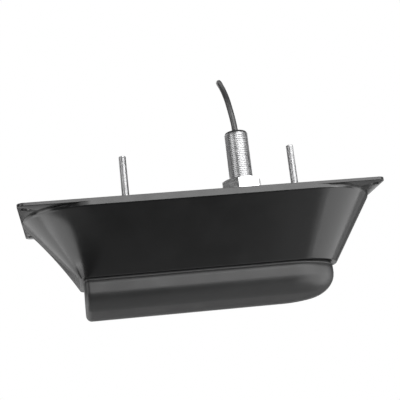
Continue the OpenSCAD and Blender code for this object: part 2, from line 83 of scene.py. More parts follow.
def ease(t):
    """Goes from 0 to 1 with a level start and end."""
    t = clamp(t)
    return t * t * (3 - 2 * t)


def arc_steps(low, high, n):
    return [between(low, high, i / n) for i in range(n + 1)]


def heading(degrees):
    """Cosine and sine of an angle in degrees."""
    a = math.radians(degrees)
    return math.cos(a), math.sin(a)


def spoke(i, sides):
    """Cosine and sine of the i-th of so many equal steps round a circle."""
    a = 2 * math.pi * i / sides
    return math.cos(a), math.sin(a)


def round_ring(radii, z, at):
    """A ring about Z with its own radius in each direction."""
    ring = []
    for i, r in enumerate(radii):
        c, s = spoke(i, len(radii))
        ring.append((at[0] + r * c, at[1] + r * s, at[2] + z))
    return ring


# Meshes.

WELD = 2e-7
ON_AXIS = 0.001


def shade(o, angle):
    """Smooth faces; edges sharper than angle degrees stay sharp."""
    o.data.polygons.foreach_set("use_smooth", [True] * len(o.data.polygons))
    o.data.set_sharp_from_angle(angle=math.radians(angle))


def add(name, verts, faces, smooth=30.0):
    """A mesh piece from points in millimetres."""
    me = bpy.data.meshes.new(name)
    me.from_pydata([tuple(c * MM for c in v) for v in verts], [], faces)
    me.validate()
    bm = bmesh.new()
    bm.from_mesh(me)
    bmesh.ops.remove_doubles(bm, verts=bm.verts, dist=WELD)
    bmesh.ops.recalc_face_normals(bm, faces=bm.faces)
    bm.to_mesh(me)
    bm.free()
    o = bpy.data.objects.new(name, me)
    scene.collection.objects.link(o)
    shade(o, smooth)
    return o


def loft(rings, closed_rings=False):
    """Points and faces over rings of equal count, capped unless the last ring meets the first."""
    n = len(rings[0])
    verts = [p for r in rings for p in r]
    faces = []
    for k in range(len(rings) if closed_rings else len(rings) - 1):
        a, b = k * n, (k + 1) % len(rings) * n
        for i in range(n):
            j = (i + 1) % n
            faces.append((a + i, a + j, b + j, b + i))
    if not closed_rings:
        base = (len(rings) - 1) * n
        faces.append(tuple(range(n - 1, -1, -1)))
        faces.append(tuple(range(base, base + n)))
    return verts, faces


def lathe(profile, sides, at=(0, 0, 0), closed=False):
    """Points and faces of a profile of (radius, z) turned about Z."""
    rings = [round_ring([max(r, ON_AXIS)] * sides, z, at) for r, z in profile]
    return loft(rings, closed_rings=closed)


def cut(o, cutters, smooth, operation="DIFFERENCE"):
    """Cuts closed meshes out of a piece, or keeps what it shares with them."""
    for c in cutters:
        m = o.modifiers.new("cut", "BOOLEAN")
        m.operation = operation
        m.solver = "EXACT"
        m.object = c
    bpy.context.view_layer.update()
    graph = bpy.context.evaluated_depsgraph_get()
    done = bpy.data.meshes.new_from_object(o.evaluated_get(graph))
    o.modifiers.clear()
    old = o.data
    o.data = done
    bpy.data.meshes.remove(old)
    for c in cutters:
        bpy.data.objects.remove(c)
    shade(o, smooth)


def rod(r, z_low, z_high, x, y=0.0, sides=96):
    """A cylinder for cutting."""
    return add("cutter", *lathe([(r, z_low), (r, z_high)], sides, (x, y, 0)))


def settle(o, slot, *nodes):
    """Gives a piece its material and its body, and hides the nodes that it stands for."""
    o.data.materials.clear()
    o.data.materials.append(M[slot])
    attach(o, "root")
    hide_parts(*nodes)


# Materials. A noise texture's values lie mostly between NOISE_LOW and NOISE_HIGH.

NOISE_LOW, NOISE_HIGH = 0.3, 0.7
BED_LOW, BED_HIGH = -0.0004, -0.0001


def material(name):
    mat = bpy.data.materials.new(name)
    mat.use_nodes = True
    nt = mat.node_tree
    return mat, nt, nt.nodes["Principled BSDF"]


def place(nt, stretch=None):
    """Object coordinates, which are the row frame in metres, stretched if asked."""
    c = nt.nodes.new("ShaderNodeTexCoord")
    out = c.outputs["Object"]
    if stretch:
        m = nt.nodes.new("ShaderNodeMapping")
        m.inputs["Scale"].default_value = stretch
        nt.links.new(out, m.inputs["Vector"])
        out = m.outputs["Vector"]
    return out


def noise(nt, scale, detail=3.0, rough=0.5, vector=None):
    n = nt.nodes.new("ShaderNodeTexNoise")
    n.inputs["Scale"].default_value = scale
    n.inputs["Detail"].default_value = detail
    n.inputs["Roughness"].default_value = rough
    nt.links.new(vector if vector else place(nt), n.inputs["Vector"])
    return n.outputs["Fac"]


def ramp(nt, fac, low, high, a=0.0, b=1.0):
    """Maps a value from a..b to low..high."""
    m = nt.nodes.new("ShaderNodeMapRange")
    m.inputs["From Min"].default_value = a
    m.inputs["From Max"].default_value = b
    m.inputs["To Min"].default_value = low
    m.inputs["To Max"].default_value = high
    nt.links.new(fac, m.inputs["Value"])
    return m.outputs["Result"]


def mixed(nt, fac, a, b):
    m = nt.nodes.new("ShaderNodeMix")
    m.data_type = "RGBA"
    m.inputs["A"].default_value = (*a, 1)
    m.inputs["B"].default_value = (*b, 1)
    nt.links.new(fac, m.inputs["Factor"])
    return m.outputs["Result"]


def clouded(nt, p, fac, dark, light):
    """Colours a surface between dark and light by a noise."""
    colour = mixed(nt, ramp(nt, fac, 0, 1, NOISE_LOW, NOISE_HIGH), dark, light)
    nt.links.new(colour, p.inputs["Base Color"])


def bump(nt, p, height, strength, distance):
    b = nt.nodes.new("ShaderNodeBump")
    b.inputs["Strength"].default_value = strength
    b.inputs["Distance"].default_value = distance
    nt.links.new(height, b.inputs["Height"])
    nt.links.new(b.outputs["Normal"], p.inputs["Normal"])


def plastic(name, dark, light, rough, grain_depth=0.00006, specular=0.5, bed=0.0):
    """Moulded plastic: a fine spark-eroded grain, faint flow marks and uneven sheen. A face at
    level zero, which beds on the hull, is rougher by bed."""
    mat, nt, p = material(name)
    clouded(nt, p, noise(nt, 18, 4), dark, light)
    smoothest, roughest = rough - 0.04, rough + 0.05
    sheen = ramp(nt, noise(nt, 42, 5, 0.6), smoothest, roughest, NOISE_LOW, NOISE_HIGH)
    if bed:
        level = nt.nodes.new("ShaderNodeSeparateXYZ")
        nt.links.new(place(nt), level.inputs[0])
        for end, at in (("To Min", smoothest), ("To Max", roughest)):
            bedded = ramp(nt, level.outputs["Z"], at, at + bed, BED_LOW, BED_HIGH)
            nt.links.new(bedded, sheen.node.inputs[end])
    nt.links.new(sheen, p.inputs["Roughness"])
    p.inputs["Specular IOR Level"].default_value = specular
    bump(nt, p, noise(nt, 900, 2, 0.6), 0.35, grain_depth)
    return mat


def rubber(name, dark, light, rough=0.6):
    """Moulded rubber: matt, with a fine pebbled skin."""
    mat, nt, p = material(name)
    nt.links.new(mixed(nt, noise(nt, 60, 4), dark, light), p.inputs["Base Color"])
    nt.links.new(ramp(nt, noise(nt, 150, 3), rough - 0.07, rough + 0.07), p.inputs["Roughness"])
    p.inputs["Specular IOR Level"].default_value = 0.4
    bump(nt, p, noise(nt, 700, 2), 0.3, 0.00008)
    return mat


def turned_steel(name, dark, light, rough):
    """Turned stainless steel: fine rings round the axis and slight clouding."""
    mat, nt, p = material(name)
    ringed = noise(nt, 1.0, 2, 0.6, place(nt, (90, 90, 2600)))
    clouded(nt, p, noise(nt, 55, 4), dark, light)
    p.inputs["Metallic"].default_value = 1.0
    sheen = ramp(nt, ringed, rough - 0.06, rough + 0.08, NOISE_LOW, NOISE_HIGH)
    nt.links.new(sheen, p.inputs["Roughness"])
    bump(nt, p, ringed, 0.12, 0.00003)
    return mat


def speckled(name, dark, light, rough, scale, depth, metal=0.0):
    """Ceramic, foam, board or brass: noise at three scales for colour, sheen and grain."""
    mat, nt, p = material(name)
    clouded(nt, p, noise(nt, scale, 4), dark, light)
    sheen = ramp(nt, noise(nt, scale * 2, 3), rough - 0.08, rough + 0.08)
    nt.links.new(sheen, p.inputs["Roughness"])
    p.inputs["Metallic"].default_value = metal
    bump(nt, p, noise(nt, scale * 5, 2), 0.3, depth)
    return mat


def woven(name, dark, light):
    """Strap: a fine wavy weave and a fibrous nap."""
    mat, nt, p = material(name)
    w = nt.nodes.new("ShaderNodeTexWave")
    w.inputs["Scale"].default_value = 260
    w.inputs["Distortion"].default_value = 1.5
    nt.links.new(place(nt), w.inputs["Vector"])
    nt.links.new(mixed(nt, w.outputs["Fac"], dark, light), p.inputs["Base Color"])
    p.inputs["Roughness"].default_value = 0.85
    p.inputs["Sheen Weight"].default_value = 0.3
    bump(nt, p, noise(nt, 1400, 3), 0.6, 0.0003)
    return mat


# Slot, kind, darker and lighter colour, and what else the kind takes.
MATERIALS = [
    ("fairing_plastic", plastic, (0.0062, 0.0063, 0.0064), (0.0078, 0.0079, 0.008),
     {"rough": 0.21, "grain_depth": 0.000012, "bed": 0.37}),
    ("bar_plastic", plastic, (0.008, 0.0081, 0.0083), (0.0108, 0.0109, 0.0111),
     {"rough": 0.4, "grain_depth": 0.00004, "specular": 0.58}),
    ("gasket_rubber", rubber, (0.012, 0.012, 0.012), (0.02, 0.02, 0.02), {}),
    ("gland_rubber", rubber, (0.02, 0.02, 0.021), (0.03, 0.03, 0.031), {"rough": 0.5}),
    ("cable_jacket", plastic, (0.041, 0.041, 0.042), (0.051, 0.051, 0.052),
     {"rough": 0.32, "specular": 0.75}),
    ("steel", turned_steel, (0.53, 0.53, 0.535), (0.62, 0.62, 0.625), {"rough": 0.32}),
    ("nut_steel", turned_steel, (0.66, 0.66, 0.665), (0.75, 0.75, 0.755), {"rough": 0.22}),
    ("carrier_plastic", plastic, (0.29, 0.31, 0.28), (0.34, 0.36, 0.33), {"rough": 0.5}),
    ("array_ceramic", speckled, (0.68, 0.63, 0.51), (0.75, 0.7, 0.58),
     {"rough": 0.55, "scale": 120, "depth": 0.00004}),
    ("backing_foam", speckled, (0.16, 0.145, 0.13), (0.24, 0.215, 0.19),
     {"rough": 0.85, "scale": 420, "depth": 0.0004}),
    ("board", speckled, (0.04, 0.17, 0.065), (0.06, 0.23, 0.09),
     {"rough": 0.3, "scale": 160, "depth": 0.00003}),
    ("ferrite", speckled, (0.16, 0.1, 0.05), (0.24, 0.145, 0.07),
     {"rough": 0.5, "scale": 300, "depth": 0.00008}),
    ("sensor_brass", speckled, (0.58, 0.43, 0.18), (0.66, 0.49, 0.22),
     {"rough": 0.28, "scale": 140, "depth": 0.00003, "metal": 1.0}),
    ("contact_brass", speckled, (0.7, 0.5, 0.2), (0.76, 0.56, 0.25),
     {"rough": 0.22, "scale": 240, "depth": 0.00002, "metal": 1.0}),
    ("plug_plastic", plastic, (0.022, 0.022, 0.023), (0.03, 0.03, 0.031), {"rough": 0.45}),
    ("strap", woven, (0.012, 0.012, 0.013), (0.028, 0.028, 0.03), {}),
]
M = {slot: kind(slot, dark, light, **more) for slot, kind, dark, light, more in MATERIALS}

# Cable: up from the gland, over behind the fairing, through the coil and on to the plug.

CABLE_D = 6.5
LEAD = [
    (51, 0, 80.8), (50, 0, 93.8), (48, 0, 108.8), (46, 2, 122.8), (44, 9, 136.8), (43, 20, 147.8),
    (46, 34, 153.8), (51, 48, 152.8), (57, 60, 145.8), (61, 68, 134.8), (64, 72, 120.8),
    (65, 75, 105.8), (65, 77, 90.8), (65, 79, 75.8), (64, 80, 60.8), (64, 81, 45.8),
    (64, 81, 29.8), (64, 81, 14),
]
TAIL = [
    (17, 113.5, 32), (31, 113.5, 32), (46, 113.5, 32), (52, 113.5, 32), (60, 113.5, 31),
    (66, 113.5, 28), (72, 113.5, 24), (76, 113.5, 18), (79, 113.5, 11), (80, 113.5, 4),
    (80, 113.5, -4),
]
COIL = Vector((17, 97.25, -15))
COIL_R = 47
LAYERS, ROWS = 4, 6
TURNS, TURN_STEPS = 23.75, 72
STEP_OVER = 0.5
OUTER_BULGE, INNER_BULGE = 1.5, -0.8
CURVE_STEPS = 6
MIN_STEP = 0.2


def coil_line():
    """Centre line of the turns: row by row, outer to inner and back, stepping over at one side."""
    seats = []
    for row in range(ROWS):
        layers = range(LAYERS) if row % 2 == 0 else range(LAYERS - 1, -1, -1)
        y = CABLE_D * (row - (ROWS - 1) / 2)
        seats += [(COIL_R - CABLE_D * layer, y) for layer in layers]
    line = []
    steps = int(TURNS * TURN_STEPS)
    for i in range(steps + 1):
        turn = TURNS * i / steps
        k = int(turn)
        r, y = seats[k]
        if k + 1 < len(seats):
            s = clamp((turn - k - STEP_OVER) / (1 - STEP_OVER))
            r1, y1 = seats[k + 1]
            bulge = 0.0
            if r1 == r:
                bulge = math.sin(math.pi * s) ** 2 * (OUTER_BULGE if r > 40 else INNER_BULGE)
            r, y = between(r, r1, ease(s)) + bulge, between(y, y1, ease(s))
        a = -2 * math.pi * turn
        line.append(COIL + Vector((r * math.cos(a), y, r * math.sin(a))))
    return line


def smooth_line(points):
    """A curve through the points."""
    p = [Vector(q) for q in points]
    out = []
    for i in range(len(p) - 1):
        a = p[i - 1] if i else p[0] * 2 - p[1]
        b, c = p[i], p[i + 1]
        d = p[i + 2] if i + 2 < len(p) else p[-1] * 2 - p[-2]
        square, cube = 2 * a - 5 * b + 4 * c - d, 3 * b - a - 3 * c + d
        for s in range(CURVE_STEPS):
            t = s / CURVE_STEPS
            out.append(0.5 * (2 * b + (c - a) * t + square * t**2 + cube * t**3))
    return out + [p[-1]]


route = smooth_line(LEAD) + coil_line() + smooth_line(TAIL)[1:]
route = [q for i, q in enumerate(route) if i == 0 or (q - route[i - 1]).length > MIN_STEP]
curve = bpy.data.curves.new("cable", "CURVE")
curve.dimensions = "3D"
curve.bevel_depth = CABLE_D / 2 * MM
curve.bevel_resolution = 6
curve.use_fill_caps = True
spline = curve.splines.new("POLY")
spline.points.add(len(route) - 1)
for q, pt in zip(route, spline.points):
    pt.co = (q.x * MM, q.y * MM, q.z * MM, 1)
spline.use_smooth = True
cable = bpy.data.objects.new("cable_line", curve)
scene.collection.objects.link(cable)
settle(cable, "cable_jacket", "cable", "cable_coil", "cable_tail")

# Fairing: the flange with its corner tabs and rim, and the tapered body below.

HALF_L, HALF_W = 185.0, 72.5
TAB, RIM, DEPTH = 3.5, 7.0, 73.1
TAB_CORNER_R = 7.0
END_X = HALF_L - HALF_W
RIM_END = 1.6
FAIRING_SHARP = 35
SCREWS = [(sx * 177.8, sy * 58.9) for sx in (-1, 1) for sy in (-1, 1)]
STEM_X, STUDS_X = 51.0, (-75.0, 109.0)
STEM_HOLE_R, STUD_HOLE_R, SCREW_HOLE_R, RECESS_R = 13, 4.3, 2.6, 28
COUNTERSINK = [(5.4, -4.7), (4.4, -3.7), (4.2, -3.5), (SCREW_HOLE_R, -1.9)]
# Directions from an end's centre, closer together over the flange corner.
QUARTER = arc_steps(0, 41.9, 26) + arc_steps(42.4, 47.6, 10) + arc_steps(48.1, 90, 26)
ANGLES = [-a for a in reversed(QUARTER[1:])] + QUARTER


def tab_reach(a, inset):
    """Distance along a direction from an end's centre to the flange's rounded corner outline."""
    half, r = HALF_W - inset, TAB_CORNER_R - inset
    c, s = heading(a)
    s = abs(s)
    d = min(half / c if c > 1e-6 else 1e9, half / s if s > 1e-6 else 1e9)
    flat = half - r
    if d * c > flat and d * s > flat:
        along = flat * c + flat * s
        d = along + math.sqrt(max(r * r - (flat * flat + flat * flat - along * along), 0))
    return d


def rim_reach(a, inset=0.0):
    """Distance along a direction from an end's centre to the rim, which is set back at the ends."""
    c, s = heading(a)
    return math.sqrt((HALF_W - inset) ** 2 - (RIM_END * s) ** 2) - RIM_END * c


def free(a):
    """How much of an edge's rounding a direction takes: none where tab and rim run together."""
    return ease((tab_reach(a, 0) - rim_reach(a)) / 3.0)


def end_ring(reach, level):
    """One level of the flange: both ends by direction, joined by straight sides."""
    ring = []
    for sign in (1, -1):
        for a in ANGLES:
            d = reach(a)
            c, s = heading(a)
            ring.append((sign * (END_X + d * c), sign * d * s, level(a)))
    return ring


# Inset or reach past the rim, with the level, or with the drop below TAB_EDGE_Z.
TAB_EDGE_Z = -3.0
TAB_TOP = [(0.3, 0), (0.2, 0), (0.06, -0.06), (0, -0.2), (0, -0.25), (0, -2.9), (0, TAB_EDGE_Z)]
TAB_UNDER = [(0.15, 0.35), (0.5, 0.5)]
RIM_ROOT = [(0.6, 0.5), (0.18, 0.68)]
RIM_FACE = [(0, -4.1), (0, -6.75), (0, -6.8), (0.06, -6.94), (0.2, -RIM)]
flange_rings = [end_ring(lambda a: tab_reach(a, inset), lambda a: z) for inset, z in TAB_TOP]
flange_rings += [
    end_ring(lambda a: tab_reach(a, inset * free(a)), lambda a: TAB_EDGE_Z - drop * free(a))
    for inset, drop in TAB_UNDER
]
flange_rings += [
    end_ring(lambda a: rim_reach(a) + past * free(a), lambda a: TAB_EDGE_Z - drop * free(a))
    for past, drop in RIM_ROOT
]
flange_rings += [end_ring(lambda a: rim_reach(a, inset), lambda a: z) for inset, z in RIM_FACE]

CORNER_STEPS, SIDE_STEPS, NOSE_STEPS, STERN_STEPS = 24, 24, 96, 12


def plan(stern, tip, half, nose, corner, z):
    """Squared stern with rounded corners, straight sides and a half ellipse for the nose."""
    nose_x = tip - nose
    ring = []
    for a in arc_steps(180, 270, CORNER_STEPS):
        c, s = heading(a)
        ring.append((stern + corner + corner * c, corner - half + corner * s, z))
    for t in arc_steps(0, 1, SIDE_STEPS)[1:-1]:
        ring.append((between(stern + corner, nose_x, t), -half, z))
    for a in arc_steps(-90, 90, NOSE_STEPS):
        c, s = heading(a)
        ring.append((nose_x + nose * c, half * s, z))
    for t in arc_steps(1, 0, SIDE_STEPS)[1:-1]:
        ring.append((between(stern + corner, nose_x, t), half, z))
    for a in arc_steps(90, 180, CORNER_STEPS):
        c, s = heading(a)
        ring.append((stern + corner + corner * c, half - corner + corner * s, z))
    for t in arc_steps(1, -1, STERN_STEPS)[1:-1]:
        ring.append((stern, (half - corner) * t, z))
    return ring


BODY_GAP = 1.0
BODY_HALF = HALF_W - BODY_GAP
BASE_STERN, BASE_TIP, BASE_HALF, BASE_NOSE, BASE_CORNER = 55.4, 43.8, 44.25, 46.0, 9.0
STERN_HOLLOW = 4.6
BASE_EDGE_R = 0.5
BODY_STEPS = 48


def body_ring(t, z, inset=0.0):
    """One level of the tapered body, from the rim at t 0 to the base at t 1."""
    stern = between(BODY_GAP - HALF_L, BASE_STERN - HALF_L, t) + STERN_HOLLOW * t * (1 - t)
    corner = between(BODY_HALF - 2.0, BASE_CORNER, t**2)
    return plan(
        stern + inset,
        between(HALF_L - BODY_GAP, HALF_L - BASE_TIP, t) - inset,
        between(BODY_HALF, BASE_HALF, t) - inset,
        between(BODY_HALF, BASE_NOSE, t) - inset,
        max(corner - inset, 0.4),
        z,
    )


# Inside the flange the body goes on upwards; flat rings beside the base edge keep its shading flat.
body_rings = [
    plan(0.2 - HALF_L, HALF_L - 0.2, BODY_HALF, HALF_W - 0.2, HALF_W - 3, z)
    for z in (-TAB / 2, -TAB, -TAB - 0.5)
]
for k in range(BODY_STEPS + 1):
    z = between(-RIM, -DEPTH, k / BODY_STEPS)
    if z > 0.1 + BASE_EDGE_R - DEPTH:
        body_rings.append(body_ring(k / BODY_STEPS, z))
for a in arc_steps(0, 90, 6):
    c, s = heading(a)
    drop = BASE_EDGE_R * (1 - s)
    body_rings.append(body_ring(1 - drop / (DEPTH - RIM), drop - DEPTH, BASE_EDGE_R * (1 - c)))
body_rings.append(body_ring(1, -DEPTH, BASE_EDGE_R + 0.2))

fairing = add("fairing_moulding", *loft(flange_rings), smooth=FAIRING_SHARP)
cut(
    fairing,
    [rod(RECESS_R, -2, 1, STEM_X), rod(STEM_HOLE_R, -9, 1, STEM_X)]
    + [rod(STUD_HOLE_R, -9, 1, x) for x in STUDS_X]
    + [rod(SCREW_HOLE_R, -9, 1, x, y, 48) for x, y in SCREWS]
    + [add("cutter", *lathe(COUNTERSINK, 64, (x, y, 0))) for x, y in SCREWS],
    FAIRING_SHARP,
)
body = add("fairing_body", *loft(body_rings), smooth=FAIRING_SHARP)
cut(
    body,
    [rod(STEM_HOLE_R, -76, 1, STEM_X), rod(RECESS_R, -2, 1, STEM_X)]
    + [rod(STUD_HOLE_R, -76, 1, x) for x in STUDS_X],
    FAIRING_SHARP,
)
bm = bmesh.new()
bm.from_mesh(fairing.data)
bm.from_mesh(body.data)
bm.to_mesh(fairing.data)
bm.free()
bpy.data.objects.remove(body)
shade(fairing, FAIRING_SHARP)
settle(fairing, "fairing_plastic", "fairing_block")

# Bar: the moulded housing, its lid, the gasket above and the seal between.

BAR_HALF, BAR_STERN, BAR_TIP, BAR_NOSE = 43.5, -126.0, 136.4, 55.0
LID_Z, SEAL_Z, HOUSING_Z, LID_UNDER = -74.5, -76.1, -76.9, -80.9
KEEL_Z, BILGE_R, NOSE_R, CROWN_R = -109.7, 19.0, 25.5, 110.0
EDGE_R, EDGE_LEAST, WALL = 6.0, 0.5, 4.0
BILGE_Y = BAR_HALF - BILGE_R
NOSE_X = BAR_TIP - BAR_NOSE
LIP_R = 0.7
BAR_SHARP = 40


def turn_under(r):
    """Slope where the crowned underside turns up with radius r, and the level of its centre."""
    slope = math.asin((BAR_HALF - r) / (CROWN_R - r))
    return math.degrees(slope), KEEL_Z + CROWN_R - (CROWN_R - r) * math.cos(slope)


SLOPE, BILGE_Z = turn_under(BILGE_R)
NOSE_SLOPE, NOSE_Z = turn_under(NOSE_R)


def bar_plan(inset, z):
    return plan(
        BAR_STERN + inset,
        BAR_TIP - inset,
        BAR_HALF - inset,
        BAR_NOSE - inset,
        max(EDGE_R - inset, EDGE_LEAST),
        z,
    )


def skin_at(inset, a):
    """Half width and level of the bar's skin where its slope from level is a."""
    c, s = heading(a)
    if a > SLOPE:
        return BILGE_Y + (BILGE_R - inset) * s, BILGE_Z - (BILGE_R - inset) * c
    return (CROWN_R - inset) * s, KEEL_Z + CROWN_R - (CROWN_R - inset) * c


def nose_share(z):
    """Reach of the nose at a level, whose profile turns under more gently than the sides."""
    drop = max(NOSE_Z - z, 0)
    if drop < NOSE_R * heading(NOSE_SLOPE)[0]:
        half = BAR_HALF - NOSE_R + math.sqrt(NOSE_R**2 - drop**2)
    else:
        half = math.sqrt(max(CROWN_R**2 - (KEEL_Z + CROWN_R - z) ** 2, 0))
    return half / BAR_HALF


def skin_ring(inset, a):
    """One line of the bar's skin of the same slope, its stern edge rounded square to the skin."""
    half, z = skin_at(inset, a)
    edge = max(EDGE_R - inset, EDGE_LEAST)
    corner = []
    for turn in arc_steps(0, 90, CORNER_STEPS):
        c, s = heading(turn)
        corner.append((BAR_STERN + inset + edge * (1 - c), *skin_at(inset + edge * (1 - s), a)))
    nose = (BAR_NOSE - inset) * nose_share(skin_at(0, a)[1])
    start = corner[-1][0]
    ring = [(x, -y, zz) for x, y, zz in corner]
    ring += [(between(start, NOSE_X, t), -half, z) for t in arc_steps(0, 1, SIDE_STEPS)[1:-1]]
    for b in arc_steps(-90, 90, NOSE_STEPS):
        c, s = heading(b)
        ring.append((NOSE_X + nose * c, half * s, z))
    ring += [(between(start, NOSE_X, t), half, z) for t in arc_steps(1, 0, SIDE_STEPS)[1:-1]]
    ring += reversed(corner)
    x, y, zz = corner[0]
    ring += [(x, y * t, zz) for t in arc_steps(1, -1, STERN_STEPS)[1:-1]]
    return ring


def bar_loft(name, profile, **how):
    """A flat piece of the bar from a profile of (inset, z)."""
    return add(name, *loft([bar_plan(*q) for q in profile], **how), smooth=BAR_SHARP)


SLOPES = arc_steps(90, SLOPE, 40) + arc_steps(SLOPE, 0.25, 20)[1:]
LIP_Z = HOUSING_Z - LIP_R
outer = [bar_plan(LIP_R, HOUSING_Z), bar_plan(0.2, HOUSING_Z - 0.2), bar_plan(0, LIP_Z)]
outer += [bar_plan(0, between(LIP_Z, BILGE_Z, t)) for t in (0.3, 0.6)]
outer += [skin_ring(0, a) for a in SLOPES]
inner = [bar_plan(WALL, HOUSING_Z)] + [skin_ring(WALL, a) for a in SLOPES]
bar = add("bar_moulding", *loft([*reversed(inner), *outer]), smooth=BAR_SHARP)
settle(bar, "bar_plastic", "bar_housing")

lid = bar_loft(
    "bar_lid_plate",
    [
        (0.5, LID_Z), (0.15, LID_Z - 0.15), (0, LID_Z - 0.5), (0, SEAL_Z + 0.4),
        (0.12, SEAL_Z + 0.12), (0.4, SEAL_Z), (WALL + 0.3, SEAL_Z), (WALL + 0.3, LID_UNDER),
    ],
)
cut(
    lid,
    [rod(12.3, -84, -73, STEM_X), rod(14.9, -84, LID_UNDER + 2.6, STEM_X)]
    + [rod(3.9, -84, -73, x) for x in STUDS_X]
    + [rod(5.9, -84, LID_UNDER + 2.0, x) for x in STUDS_X],
    BAR_SHARP,
)
settle(lid, "bar_plastic", "bar_lid")

gasket = bar_loft("bar_gasket_sheet", [(2, LID_Z), (1.8, LID_Z + 0.7), (2, -DEPTH)])
cut(
    gasket,
    [rod(STEM_HOLE_R, -78, -70, STEM_X)] + [rod(STUD_HOLE_R, -78, -70, x) for x in STUDS_X],
    BAR_SHARP,
)
settle(gasket, "gasket_rubber", "bar_gasket")

seal = bar_loft(
    "lid_seal_ring",
    [(WALL, HOUSING_Z), (WALL, SEAL_Z), (0.8, SEAL_Z), (0.7, SEAL_Z - 0.4), (0.8, HOUSING_Z)],
    closed_rings=True,
)
settle(seal, "gasket_rubber", "lid_seal")

# Stem, studs, nut and washers.

# Where along one pitch the thread turns, and how deep it is there.
THREAD = [(0.0, 0.0), (0.16, 0.0), (0.5, 1.0), (0.66, 1.0)]


def threaded(x, crest, depth, pitch, low, high, lead_in, sides, below, above):
    """A thread with a real helix between two levels, on a turned blank: below and above are
    (radius, z) points of the plain parts, listed upwards."""
    rings = [[(r, z)] * sides for r, z in below]
    for k in range(int(math.ceil((high - low) / pitch)) + 1):
        for at, deep in THREAD:
            ring = []
            for i in range(sides):
                z = min(max(low + (k + at + i / sides - 1) * pitch, low), high)
                fade = clamp(min((z - low) / pitch, (high - z) / lead_in))
                ring.append((crest - deep * depth * fade, z))
            rings.append(ring)
    rings += [[(r, z)] * sides for r, z in above]
    spokes = [spoke(i, sides) for i in range(sides)]
    return [[(x + r * c, r * s, z) for (r, z), (c, s) in zip(ring, spokes)] for ring in rings]


stem_rings = threaded(
    STEM_X, crest=12.7, depth=1.1, pitch=2.117, low=26.8, high=78.2, lead_in=0.8, sides=120,
    below=[
        (5, 79), (5, -85.9), (19.4, -85.9), (20, -85.3), (20, -81.5), (19.4, -80.9), (12, -80.9),
        (12, 26.8),
    ],
    above=[(12.0, 79)],
)
stem = add("stem_threaded", *loft(stem_rings, closed_rings=True), smooth=50)
settle(stem, "steel", "stem")

for name, x in zip(("rear_stud", "front_stud"), STUDS_X):
    stud_rings = threaded(
        x, crest=4.0, depth=0.4, pitch=1.25, low=0.3, high=61.8, lead_in=0.6, sides=56,
        below=[
            (0.01, -84.9), (7.6, -84.9), (8, -84.5), (8, -81.3), (7.6, -80.9), (3.6, -80.9),
            (3.6, 0.3),
        ],
        above=[(3.5, 62.4), (0.01, 62.4)],
    )
    stud = add(name + "_threaded", *loft(stud_rings), smooth=30)
    settle(stud, "steel", name)

NUT_AF, NUT_H, NUT_Z, NUT_TURN = 39.0, 23.5, 3.0, 12.0
NUT_BORE_R, NUT_SHARP = 12.0, 25
NUT_R = NUT_AF / 2 / math.cos(math.radians(30))
CORNERS = [heading(NUT_TURN + 60 * i) for i in range(6)]
hexagon = [
    [(STEM_X + NUT_R * c, NUT_R * s, z) for c, s in CORNERS] for z in (NUT_Z, NUT_Z + NUT_H)
]
nut = add("hull_nut_turned", *loft(hexagon), smooth=NUT_SHARP)
face_r, blank = NUT_AF / 2 - 1, NUT_R + 1
fall = (blank - face_r) * math.tan(math.radians(30))
chamfers = [
    (0, 0), (face_r, 0), (blank, fall), (blank, NUT_H - fall), (face_r, NUT_H), (0, NUT_H),
]
cone = add("cutter", *lathe(chamfers, 160, (STEM_X, 0, NUT_Z)))
cut(nut, [cone], NUT_SHARP, "INTERSECT")
cut(nut, [rod(NUT_BORE_R, 0, 30, STEM_X, 0, 160)], NUT_SHARP)
soft = nut.modifiers.new("edges", "BEVEL")
soft.width = 0.35 * MM
soft.segments = 2
soft.limit_method = "ANGLE"
soft.angle_limit = math.radians(24)
soft.use_clamp_overlap = True
soft.harden_normals = True
settle(nut, "nut_steel", "hull_nut")


def washer(name, r_in, r_out, z_low, z_high, e, slot, node):
    """A flat ring round the stem with its edges eased by e."""
    profile = [
        (r_in, z_low + e), (r_in + e, z_low), (r_out - e, z_low),
        (r_out - 0.3 * e, z_low + 0.3 * e), (r_out, z_low + e), (r_out, z_high - e),
        (r_out - 0.3 * e, z_high - 0.3 * e), (r_out - e, z_high), (r_in + e, z_high),
        (r_in, z_high - e),
    ]
    o = add(name, *lathe(profile, 128, (STEM_X, 0, 0), closed=True), smooth=50)
    settle(o, slot, node)


washer("flat_washer_turned", 13, 23, 1, 3, 0.3, "steel", "flat_washer")
washer("sealing_washer_ring", 13, 25, -2, 1, 0.5, "gasket_rubber", "sealing_washer")

# Gland, strap and plug.

GLAND = [
    (3.25, 64), (5, 64), (5, 79), (11.6, 79), (12, 79.3), (12, 79.9), (11.7, 80.4), (11.1, 80.8),
    (5.2, 80.8), (4.6, 80.7), (3.9, 80.4), (3.25, 80.2),
]
gland = add("cable_gland_moulded", *lathe(GLAND, 96, (STEM_X, 0, 0), closed=True), smooth=45)
settle(gland, "gland_rubber", "cable_gland")

STRAP_INNER, STRAP_OUTER = 0.3, 1.9


def band(grow):
    """Outline round the coil's section, so far outside its turns."""
    w, h, r = LAYERS * CABLE_D / 2 + grow, ROWS * CABLE_D / 2 + grow, CABLE_D / 2 + grow
    corners = ((w - r, h - r, 0), (r - w, h - r, 90), (r - w, r - h, 180), (w - r, r - h, 270))
    outline = []
    for u, v, start in corners:
        for b in arc_steps(start, start + 90, 8):
            c, s = heading(b)
            outline.append((u + r * c, v + r * s))
    return outline


